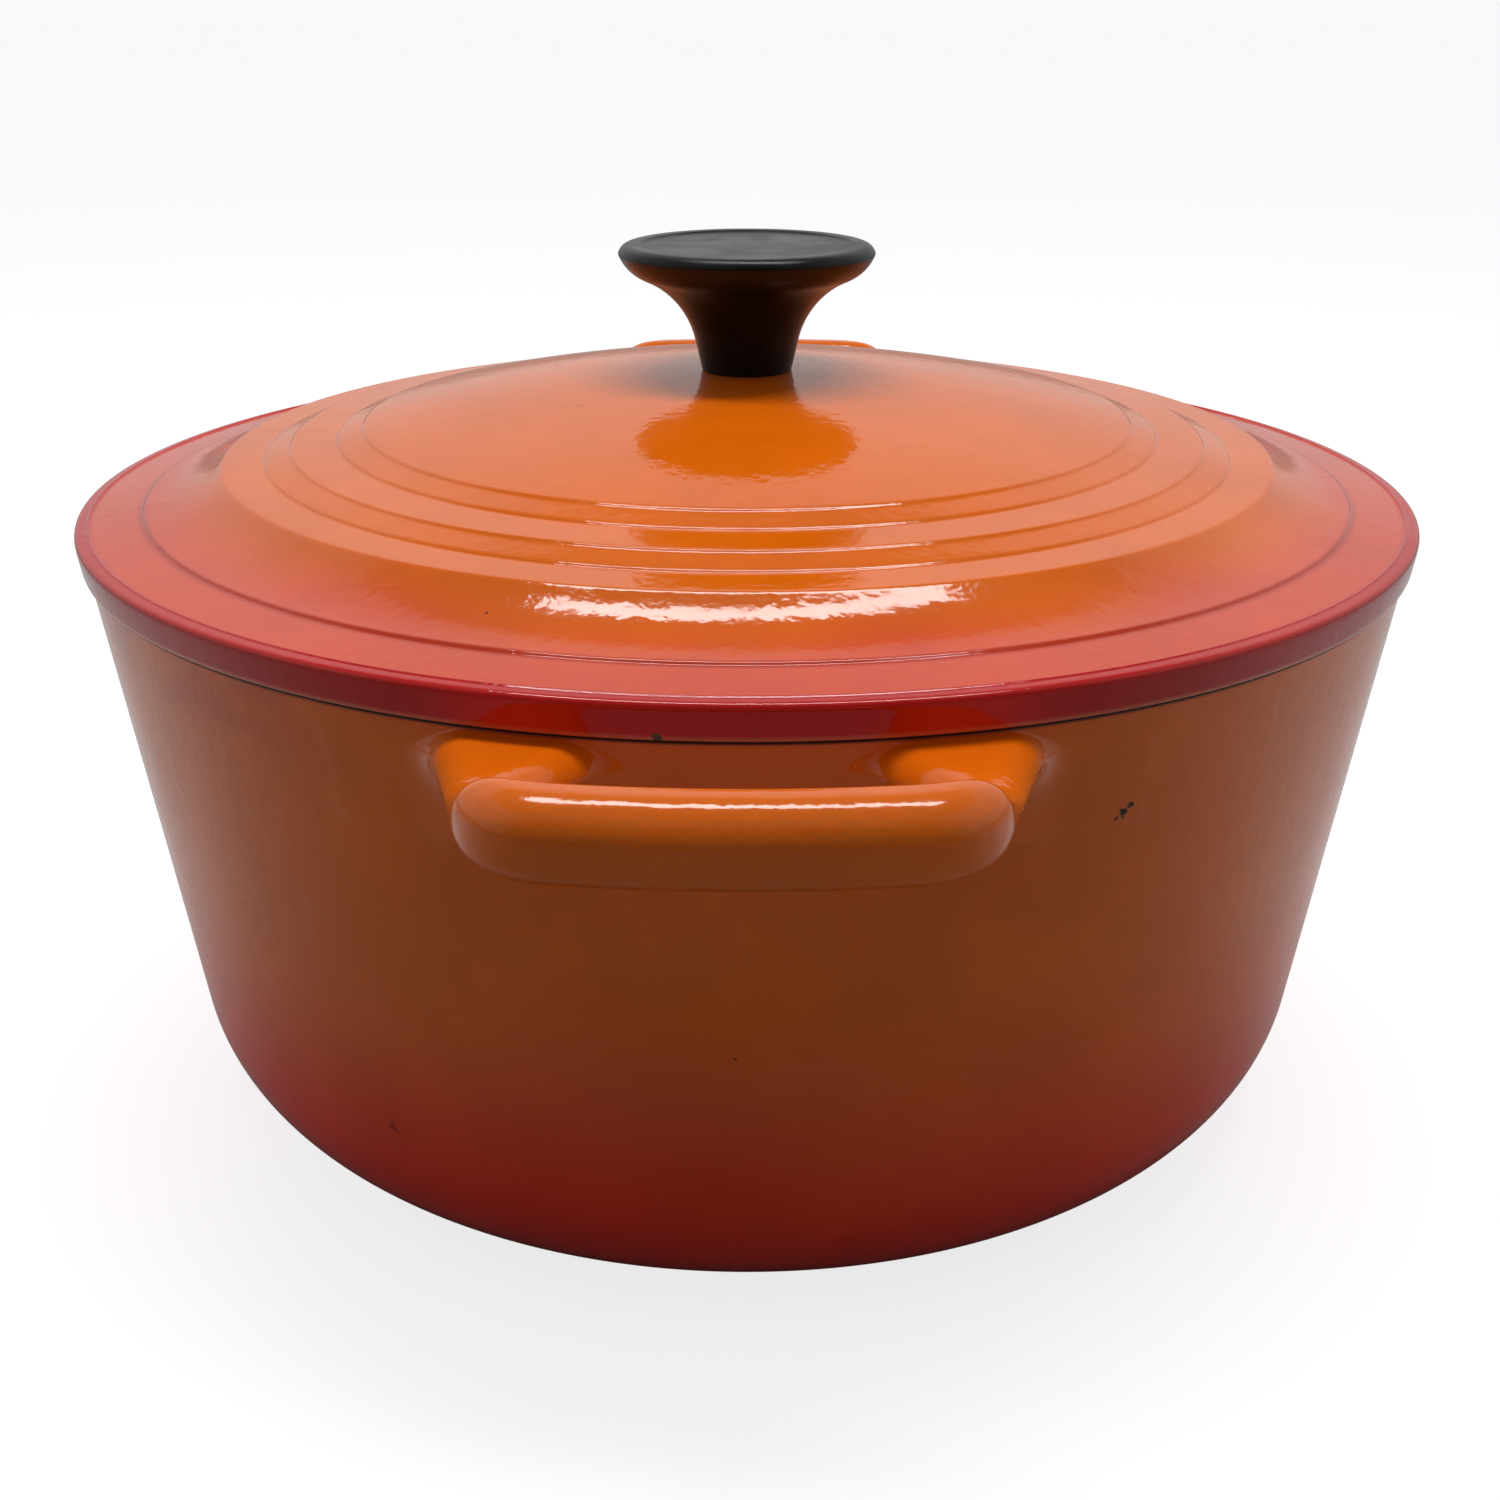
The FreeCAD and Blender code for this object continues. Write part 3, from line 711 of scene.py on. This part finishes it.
def make_lid():
    """The lid casting: dome, stepped rings, hollow sweep, brim, raised rim, and the flange underneath."""
    top = ring_corners()
    rings = lipped(top)
    under = [(x - UNDER_SHIFT, z - LID_THICKNESS) for x, z in top]
    centre = (0, dome_centre())
    seat_edge = (KNOB_SEAT_RADIUS, KNOB_SEAT_HEIGHT)
    sweep_foot = (BRIM_INNER_RADIUS - BRIM_STEP, BRIM_INNER_HEIGHT + BRIM_STEP / 2)
    under_brim = (sweep_foot[0] - UNDER_SHIFT, sweep_foot[1] - LID_THICKNESS)
    under_reach = math.dist(under[0], centre)
    under_start = (PAD_RADIUS, centre[1] + math.sqrt(under_reach ** 2 - PAD_RADIUS ** 2))
    enamel, seat, lining = 0, 1, 2
    crisp, fine, soft = 0.12, 0.3, 0.6
    stretches = [
        ([(LID_HOLE_RADIUS, KNOB_SEAT_HEIGHT), seat_edge], crisp, enamel),
        (arc_between(seat_edge, top[0], centre, 60)[2:-1], fine, enamel),
        (rings[:-1], LIP_SOFTNESS, enamel),
        (rings[-1:], OUTER_CREST_SOFTNESS, enamel),
        (sagging(top[-1], sweep_foot, SWEEP_SAG)[1:-1], fine, enamel),
        ([
            sweep_foot,
            (BRIM_INNER_RADIUS, BRIM_INNER_HEIGHT - BRIM_STEP / 2),
        ], LIP_SOFTNESS, enamel),
        ([
            (RIM_BEAD_RADIUS - RIM_BEAD_RISE, RIM_BEAD_HEIGHT - RIM_BEAD_RISE),
            (RIM_BEAD_RADIUS, RIM_BEAD_HEIGHT),
            (RIM_BEAD_RADIUS + RIM_BEAD_RISE, RIM_BEAD_HEIGHT - RIM_BEAD_FALL),
        ], BEAD_SOFTNESS, enamel),
        ([(LID_SHOULDER_RADIUS, RIM_BEAD_HEIGHT - LID_SHOULDER_DROP)], SHOULDER_SOFTNESS, enamel),
        ([(LID_EDGE_BOTTOM_RADIUS, POT_HEIGHT)], EDGE_SOFTNESS, enamel),
        ([(FLANGE_RADIUS, POT_HEIGHT)], crisp, seat),
        ([
            (FLANGE_RADIUS, FLANGE_BOTTOM),
            (FLANGE_RADIUS - FLANGE_WIDTH, FLANGE_BOTTOM),
        ], EDGE_SOFTNESS, lining),
        (sagging(under[-1], under_brim, SWEEP_SAG)[::-1], soft, lining),
        (under[::-1], soft, lining),
        (arc_between(under[0], under_start, centre, 40)[1:], fine, lining),
        ([
            (PAD_RADIUS, PAD_HEIGHT),
            (LID_HOLE_RADIUS, PAD_HEIGHT),
            (LID_HOLE_RADIUS, KNOB_SEAT_HEIGHT),
        ], crisp, lining),
    ]
    outline = dense_outline(stretches, LID_SPACING)[:-1]
    state = softened(outline, LID_SPACING, closed=True)
    state = by_turning(state, closed=True, longest_step=2.5, turn_step=0.16)
    piece = turned_piece("lid_casting", state, LID_SEGMENTS, closed=True)
    tags = np.tile(state[:, 2], LID_SEGMENTS)
    is_lining = smooth_step((tags - 1.3) / 0.4)
    set_attribute(piece, "lining", is_lining)
    set_attribute(piece, "bare_rim", smooth_step((tags - 0.3) / 0.4) * (1 - is_lining))
    return piece


def make_knob():
    """The moulded knob: flared stem, disc with a crisp parting line, and a shallow recess in the top."""
    recess = KNOB_TOP - KNOB_RECESS_DEPTH
    recess_edge, recess_floor = KNOB_RECESS_RADII
    top = (KNOB_TOP_RADIUS, KNOB_TOP)
    hole = INSERT_RADIUS + INSERT_CLEARANCE
    hole_top = INSERT_TOP + INSERT_CLEARANCE
    crisp, fine, soft = 0.08, 0.14, 0.25
    stretches = [
        ([(0, hole_top), (hole, hole_top)], crisp, 0),
        ([(hole, KNOB_SEAT_HEIGHT)], fine, 0),
        ([(KNOB_BASE_RADIUS, KNOB_SEAT_HEIGHT)], fine, 0),
        ([KNOB_NECK], KNOB_STEM_SOFTNESS, 0),
        (arc_through(KNOB_NECK, KNOB_FLARE, KNOB_UNDERSIDE)[1:], KNOB_STEM_SOFTNESS, 0),
        (arc_through(KNOB_UNDERSIDE, KNOB_SHOULDER, KNOB_WIDEST)[1:-1], soft, 0),
        ([KNOB_WIDEST], crisp, 0),
        (arc_through(KNOB_WIDEST, KNOB_BROW, top)[1:], soft, 0),
        ([(recess_edge, KNOB_TOP), (recess_floor, recess), (0, recess)], KNOB_RECESS_SOFTNESS, 0),
    ]
    state = softened(dense_outline(stretches, KNOB_SPACING), KNOB_SPACING, closed=False)
    state = by_turning(state, closed=False, longest_step=1.6, turn_step=0.14)
    return turned_piece("knob", state, KNOB_SEGMENTS, closed=False)


# ---------------------------------------------------------------- materials

class Nodes:
    """A node tree with one short call per node. An input takes a number, a colour or a socket."""

    def __init__(self, tree):
        self.tree = tree

    def add(self, kind, inputs=None, **settings):
        node = self.tree.nodes.new(kind)
        for name, value in settings.items():
            setattr(node, name, value)
        for name, value in (inputs or {}).items():
            if isinstance(value, bpy.types.NodeSocket):
                self.tree.links.new(value, node.inputs[name])
            else:
                node.inputs[name].default_value = value
        return node

    def math(self, operation, a, b=0.0):
        return self.add("ShaderNodeMath", {0: a, 1: b}, operation=operation).outputs[0]

    def map(self, value, low, high, to_low=0.0, to_high=1.0):
        """A smooth step from one value to another."""
        inputs = {"Value": value, "From Min": low, "From Max": high, "To Min": to_low, "To Max": to_high}
        return self.add("ShaderNodeMapRange", inputs, interpolation_type="SMOOTHSTEP").outputs[0]

    def mix(self, share, a, b):
        node = self.add("ShaderNodeMix", {0: share}, data_type="RGBA")
        for index, value in ((6, a), (7, b)):
            if isinstance(value, bpy.types.NodeSocket):
                self.tree.links.new(value, node.inputs[index])
            else:
                node.inputs[index].default_value = (*value, 1)
        return node.outputs[2]

    def place(self):
        return self.add("ShaderNodeTexCoord").outputs["Object"]

    def noise(self, place, scale, detail):
        inputs = {"Vector": place, "Scale": scale, "Detail": detail}
        return self.add("ShaderNodeTexNoise", inputs).outputs[0]

    def bump(self, height, distance, under=None):
        inputs = {"Height": height, "Distance": distance}
        if under is not None:
            inputs["Normal"] = under
        return self.add("ShaderNodeBump", inputs).outputs[0]

    def spot(self, place, centre, size):
        """A ragged spot about one point: 1 inside, 0 outside."""
        away = self.add("ShaderNodeVectorMath", {0: place, 1: centre}, operation="DISTANCE").outputs["Value"]
        ragged = self.map(self.noise(place, 900, 2), 0.3, 0.7, 0.6, 1.4)
        return self.map(self.math("MULTIPLY", away, ragged), size, 0.6 * size)

    def attribute(self, name):
        return self.add("ShaderNodeAttribute", attribute_name=name).outputs["Fac"]


def new_material(name):
    material = bpy.data.materials.new(name)
    material.use_nodes = True
    return material, Nodes(material.node_tree), material.node_tree.nodes["Principled BSDF"]


# Colours of the enamel and the iron, and its marks as (place, size, colour) in metres
ORANGE = (0.90, 0.165, 0.003)
RED = (0.95, 0.040, 0.020)
DEEP_RED = (0.60, 0.008, 0.006)
BRIM_RED = (0.78, 0.075, 0.020)
# painted shade: the dark red laid along the brim's inner crease
CREASE_SHADE_RED = (0.50, 0.022, 0.006)
SMEAR_RED = (0.62, 0.045, 0.006)
RIM_FOOT = (0.72, 0.14, 0.06)
CHIP_BROWN = (0.10, 0.065, 0.012)
PINHOLE_BROWN = (0.05, 0.012, 0.006)
LINING = (0.62, 0.52, 0.38)
LINING_SHADE = (0.54, 0.44, 0.31)
BARE_IRON = (0.016, 0.014, 0.013)
WALL_MARKS = (
    ((0.0593, -0.1107, 0.0979), 0.0009, (0.03, 0.010, 0.005)),
    ((0.0604, -0.1103, 0.0988), 0.0007, (0.04, 0.012, 0.006)),
    ((0.0581, -0.1112, 0.0970), 0.0006, (0.05, 0.014, 0.006)),
    ((-0.0596, -0.1000, 0.0331), 0.0013, (0.60, 0.030, 0.010)),
)
RIM_CHIP = ((-0.0112, -0.1289, 0.1168), 0.0010)


def pot_colour(nodes, place):
    """Orange above, turning to red towards the base, with the slow drift of a sprayed coat."""
    split = nodes.add("ShaderNodeSeparateXYZ", {0: place})
    drift = nodes.map(nodes.noise(place, 14, 1), 0.3, 0.7, -0.005, 0.005)
    height = nodes.math("ADD", split.outputs["Z"], drift)
    colour = nodes.mix(nodes.map(height, 0.012, 0.078), RED, ORANGE)
    stretched = nodes.add("ShaderNodeMapping", {"Vector": place, "Scale": (1, 1, 2.6)}).outputs[0]
    smear = nodes.map(nodes.noise(stretched, 34, 2), 0.46, 0.62)
    smear = nodes.math("MULTIPLY", smear, nodes.map(split.outputs["Z"], 0.100, 0.112))
    smear = nodes.math("MULTIPLY", smear, nodes.map(split.outputs["X"], -0.045, -0.085, 0.0, 0.55))
    colour = nodes.mix(smear, colour, SMEAR_RED)
    for centre, size, shade in WALL_MARKS:
        colour = nodes.mix(nodes.spot(place, centre, size), colour, shade)
    return colour


def lid_colour(nodes, place):
    """Orange in the middle, turning to red over the sweep, with painted shade along the brim's crease and a
    deep red rim.
    """
    split = nodes.add("ShaderNodeSeparateXYZ", {0: place})
    level = nodes.add("ShaderNodeCombineXYZ", {"X": split.outputs["X"], "Y": split.outputs["Y"]}).outputs[0]
    radius = nodes.add("ShaderNodeVectorMath", {0: level}, operation="LENGTH").outputs["Value"]
    drift = nodes.map(nodes.noise(place, 18, 1), 0.3, 0.7, -0.003, 0.003)
    colour = nodes.mix(nodes.map(nodes.math("ADD", radius, drift), 0.100, 0.119), ORANGE, BRIM_RED)
    # Painted shade: the colour darkens to a dark red line along the brim's inner crease, all round the lid.
    crease = nodes.math("ABSOLUTE", nodes.math("SUBTRACT", radius, BRIM_INNER_RADIUS * MM))
    colour = nodes.mix(nodes.map(crease, 0.0013, 0.0002, 0.0, 0.6), colour, CREASE_SHADE_RED)
    colour = nodes.mix(nodes.map(radius, 0.1262, 0.1275), colour, DEEP_RED)
    colour = nodes.mix(nodes.map(split.outputs["Z"], 0.1174, 0.1166), colour, RIM_FOOT)
    return nodes.mix(nodes.spot(place, *RIM_CHIP), colour, CHIP_BROWN)


def enamel(name, colour_of):
    """Glossy glass enamel over cast iron: faint orange peel, slow ripples, mottling and pinholes."""
    material, nodes, shader = new_material(name)
    place = nodes.place()
    colour = colour_of(nodes, place)
    mottle = nodes.map(nodes.noise(place, 45, 3), 0.25, 0.75, 0.94, 1.05)
    colour = nodes.add("ShaderNodeHueSaturation", {"Value": mottle, "Color": colour}).outputs[0]
    lining, bare = nodes.attribute("lining"), nodes.attribute("bare_rim")
    specks = nodes.add("ShaderNodeTexVoronoi", {"Vector": place, "Scale": 130.0})
    rare = nodes.add("ShaderNodeSeparateColor", {0: specks.outputs["Color"]}).outputs[0]
    speck = nodes.map(specks.outputs["Distance"], 0.055, 0.025)
    speck = nodes.math("MULTIPLY", speck, nodes.math("GREATER_THAN", rare, 0.93))
    colour = nodes.mix(nodes.math("MULTIPLY", speck, 0.75), colour, PINHOLE_BROWN)
    sand = nodes.mix(nodes.map(nodes.noise(place, 900, 2), 0.4, 0.6), LINING, LINING_SHADE)
    colour = nodes.mix(lining, colour, sand)
    colour = nodes.mix(bare, colour, BARE_IRON)
    gloss = nodes.map(nodes.noise(place, 70, 4), 0.3, 0.7, 0.07, 0.12)
    gloss = nodes.math("MAXIMUM", gloss, nodes.math("MULTIPLY", bare, 0.55))
    gloss = nodes.math("MAXIMUM", gloss, nodes.math("MULTIPLY", lining, 0.16))
    ripple = nodes.bump(nodes.noise(place, 55, 1), 0.00012)
    peel = nodes.bump(nodes.noise(place, 420, 2), 0.00008, ripple)
    nodes.tree.links.new(colour, shader.inputs["Base Color"])
    nodes.tree.links.new(gloss, shader.inputs["Roughness"])
    nodes.tree.links.new(peel, shader.inputs["Normal"])
    shader.inputs["IOR"].default_value = 1.5
    return material


def phenolic():
    """Black moulded phenolic, worn to a soft satin."""
    material, nodes, shader = new_material("black_phenolic")
    place = nodes.place()
    grain = nodes.noise(place, 1600, 3)
    cloud = nodes.noise(place, 110, 3)
    colour = nodes.mix(nodes.map(cloud, 0.3, 0.7), (0.004, 0.004, 0.004), (0.009, 0.009, 0.0085))
    nodes.tree.links.new(colour, shader.inputs["Base Color"])
    nodes.tree.links.new(nodes.map(cloud, 0.3, 0.7, 0.26, 0.36), shader.inputs["Roughness"])
    nodes.tree.links.new(nodes.bump(grain, 0.00002), shader.inputs["Normal"])
    shader.inputs["Specular IOR Level"].default_value = 0.26
    return material


def turned_metal(name, light, dark, rough):
    """Bare turned metal with fine tool marks round its axis and dull patches."""
    material, nodes, shader = new_material(name)
    place = nodes.place()
    drawn_out = nodes.add("ShaderNodeMapping", {"Vector": place, "Scale": (0.2, 0.2, 9.0)}).outputs[0]
    marks = nodes.noise(drawn_out, 900, 3)
    cloud = nodes.noise(place, 300, 4)
    nodes.tree.links.new(nodes.mix(nodes.map(cloud, 0.3, 0.7), light, dark), shader.inputs["Base Color"])
    nodes.tree.links.new(nodes.map(cloud, 0.3, 0.7, rough, rough + 0.15), shader.inputs["Roughness"])
    nodes.tree.links.new(nodes.bump(marks, 0.00001), shader.inputs["Normal"])
    shader.inputs["Metallic"].default_value = 1.0
    return material


# ---------------------------------------------------------------- pieces

def dress(piece, material):
    piece.data.materials.clear()
    piece.data.materials.append(material)


def place_pieces():
    for piece, body, node, slot, material in (
        (make_pot(), "pot", "pot_body", "pot_enamel", enamel("pot_enamel", pot_colour)),
        (make_lid(), "lid", "lid", "lid_enamel", enamel("lid_enamel", lid_colour)),
        (make_knob(), "lid", "lid_knob", "black_phenolic", phenolic()),
    ):
        dress(piece, material)
        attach(piece, body)
        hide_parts(node)
    steel = turned_metal("stainless_steel", (0.55, 0.54, 0.52), (0.42, 0.41, 0.40), 0.22)
    dress(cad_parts["knob_screw"], steel)
    dress(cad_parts["screw_washer"], steel)
    dress(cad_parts["knob_insert"], turned_metal("brass", (0.60, 0.42, 0.16), (0.45, 0.30, 0.11), 0.25))


# ---------------------------------------------------------------- stage

def make_floor():
    """A wide pale floor. Only the camera sees it pale all over, lifted by a painted glow: to the enamel it is
    darker in front, a painted shade.
    """
    mesh = bpy.data.meshes.new("floor")
    angles = np.linspace(0, 2 * math.pi, FLOOR_SEGMENTS, False)
    ring = [(FLOOR_REACH * math.cos(a), FLOOR_REACH * math.sin(a), 0) for a in angles]
    mesh.from_pydata(ring, [], [list(range(FLOOR_SEGMENTS))])
    floor = bpy.data.objects.new("floor", mesh)
    bpy.context.scene.collection.objects.link(floor)
    material, nodes, shader = new_material("pale_floor")
    place = nodes.add("ShaderNodeNewGeometry").outputs["Position"]
    direction = nodes.add("ShaderNodeVectorMath", {0: place}, operation="NORMALIZE").outputs[0]
    ahead = nodes.add("ShaderNodeSeparateXYZ", {0: direction}).outputs["Y"]
    # Painted shade: to the enamel the floor is darker in front than behind.
    seen_by_enamel = nodes.mix(nodes.map(ahead, -0.85, 0.1), FLOOR_FRONT_SHADE, FLOOR_BACK)
    reflected = nodes.add("ShaderNodeBsdfDiffuse", {"Color": seen_by_enamel}).outputs[0]
    pale = nodes.add("ShaderNodeBsdfDiffuse", {"Color": FLOOR_PALE}).outputs[0]
    # Painted glow: an emission, seen only by the camera, lifts the floor to pale.
    painted_glow = nodes.add("ShaderNodeEmission", {"Color": (1, 1, 1, 1), "Strength": FLOOR_GLOW}).outputs[0]
    seen = nodes.add("ShaderNodeAddShader", {0: pale, 1: painted_glow}).outputs[0]
    camera_ray = nodes.add("ShaderNodeLightPath").outputs["Is Camera Ray"]
    chosen = nodes.add("ShaderNodeMixShader", {0: camera_ray, 1: reflected, 2: seen}).outputs[0]
    nodes.tree.nodes.remove(shader)
    nodes.tree.links.new(chosen, nodes.tree.nodes["Material Output"].inputs["Surface"])
    dress(floor, material)


def make_world():
    """White surroundings at the sides, behind and above, and a dim room in front."""
    world = bpy.data.worlds.new("studio")
    bpy.context.scene.world = world
    world.use_nodes = True
    nodes = Nodes(world.node_tree)
    seen_at = nodes.add("ShaderNodeTexCoord").outputs["Generated"]
    direction = nodes.add("ShaderNodeSeparateXYZ", {0: seen_at})
    sides = nodes.map(direction.outputs["Y"], -0.75, -0.1, FRONT_LEVEL, SIDE_LEVEL)
    back = nodes.map(direction.outputs["Y"], 0.15, 0.75, 0.0, BACK_EXTRA)
    raised = nodes.map(direction.outputs["Z"], 0.25, 0.5, LOW_BACK_SHARE, 1.0)
    overhead = nodes.map(direction.outputs["Z"], 0.665, 0.77)
    around = nodes.math("ADD", sides, nodes.math("MULTIPLY", back, raised))
    level = nodes.add("ShaderNodeMix", {0: overhead, 2: around, 3: OVERHEAD_LEVEL}, data_type="FLOAT")
    lit = nodes.add("ShaderNodeBackground", {"Color": (1, 1, 1, 1), "Strength": level.outputs[0]}).outputs[0]
    plain = nodes.add("ShaderNodeBackground", {"Color": (1, 1, 1, 1), "Strength": 1.0}).outputs[0]
    camera_ray = nodes.add("ShaderNodeLightPath").outputs["Is Camera Ray"]
    chosen = nodes.add("ShaderNodeMixShader", {0: camera_ray, 1: lit, 2: plain}).outputs[0]
    nodes.tree.links.new(chosen, nodes.tree.nodes["World Output"].inputs["Surface"])


def area_light(name, place, target, size, power):
    data = bpy.data.lights.new(name, "AREA")
    data.shape = "RECTANGLE"
    data.size, data.size_y = size
    data.energy = power
    light = bpy.data.objects.new(name, data)
    light.location = place
    aim = np.array(target, float) - np.array(place, float)
    light.rotation_mode = "QUATERNION"
    light.rotation_quaternion = Vector(aim).to_track_quat("-Z", "Y")
    bpy.context.scene.collection.objects.link(light)


def make_camera():
    data = bpy.data.cameras.new("camera")
    data.sensor_width = CAMERA_SENSOR
    data.lens = CAMERA_LENS
    data.shift_x, data.shift_y = CAMERA_SHIFT
    data.clip_start, data.clip_end = CAMERA_CLIP
    camera = bpy.data.objects.new("camera", data)
    camera.location = (
        CAMERA_DISTANCE * math.sin(CAMERA_TURN),
        -CAMERA_DISTANCE * math.cos(CAMERA_TURN),
        CAMERA_HEIGHT,
    )
    camera.rotation_euler = (math.pi / 2 - CAMERA_PITCH, 0, CAMERA_TURN)
    bpy.context.scene.collection.objects.link(camera)
    bpy.context.scene.camera = camera


place_pieces()
make_floor()
make_world()
area_light("ceiling_bar", BAR_LIGHT_PLACE, BAR_LIGHT_TARGET, BAR_LIGHT_SIZE, BAR_LIGHT_POWER)
make_camera()
bpy.context.scene.view_settings.view_transform = "Standard"
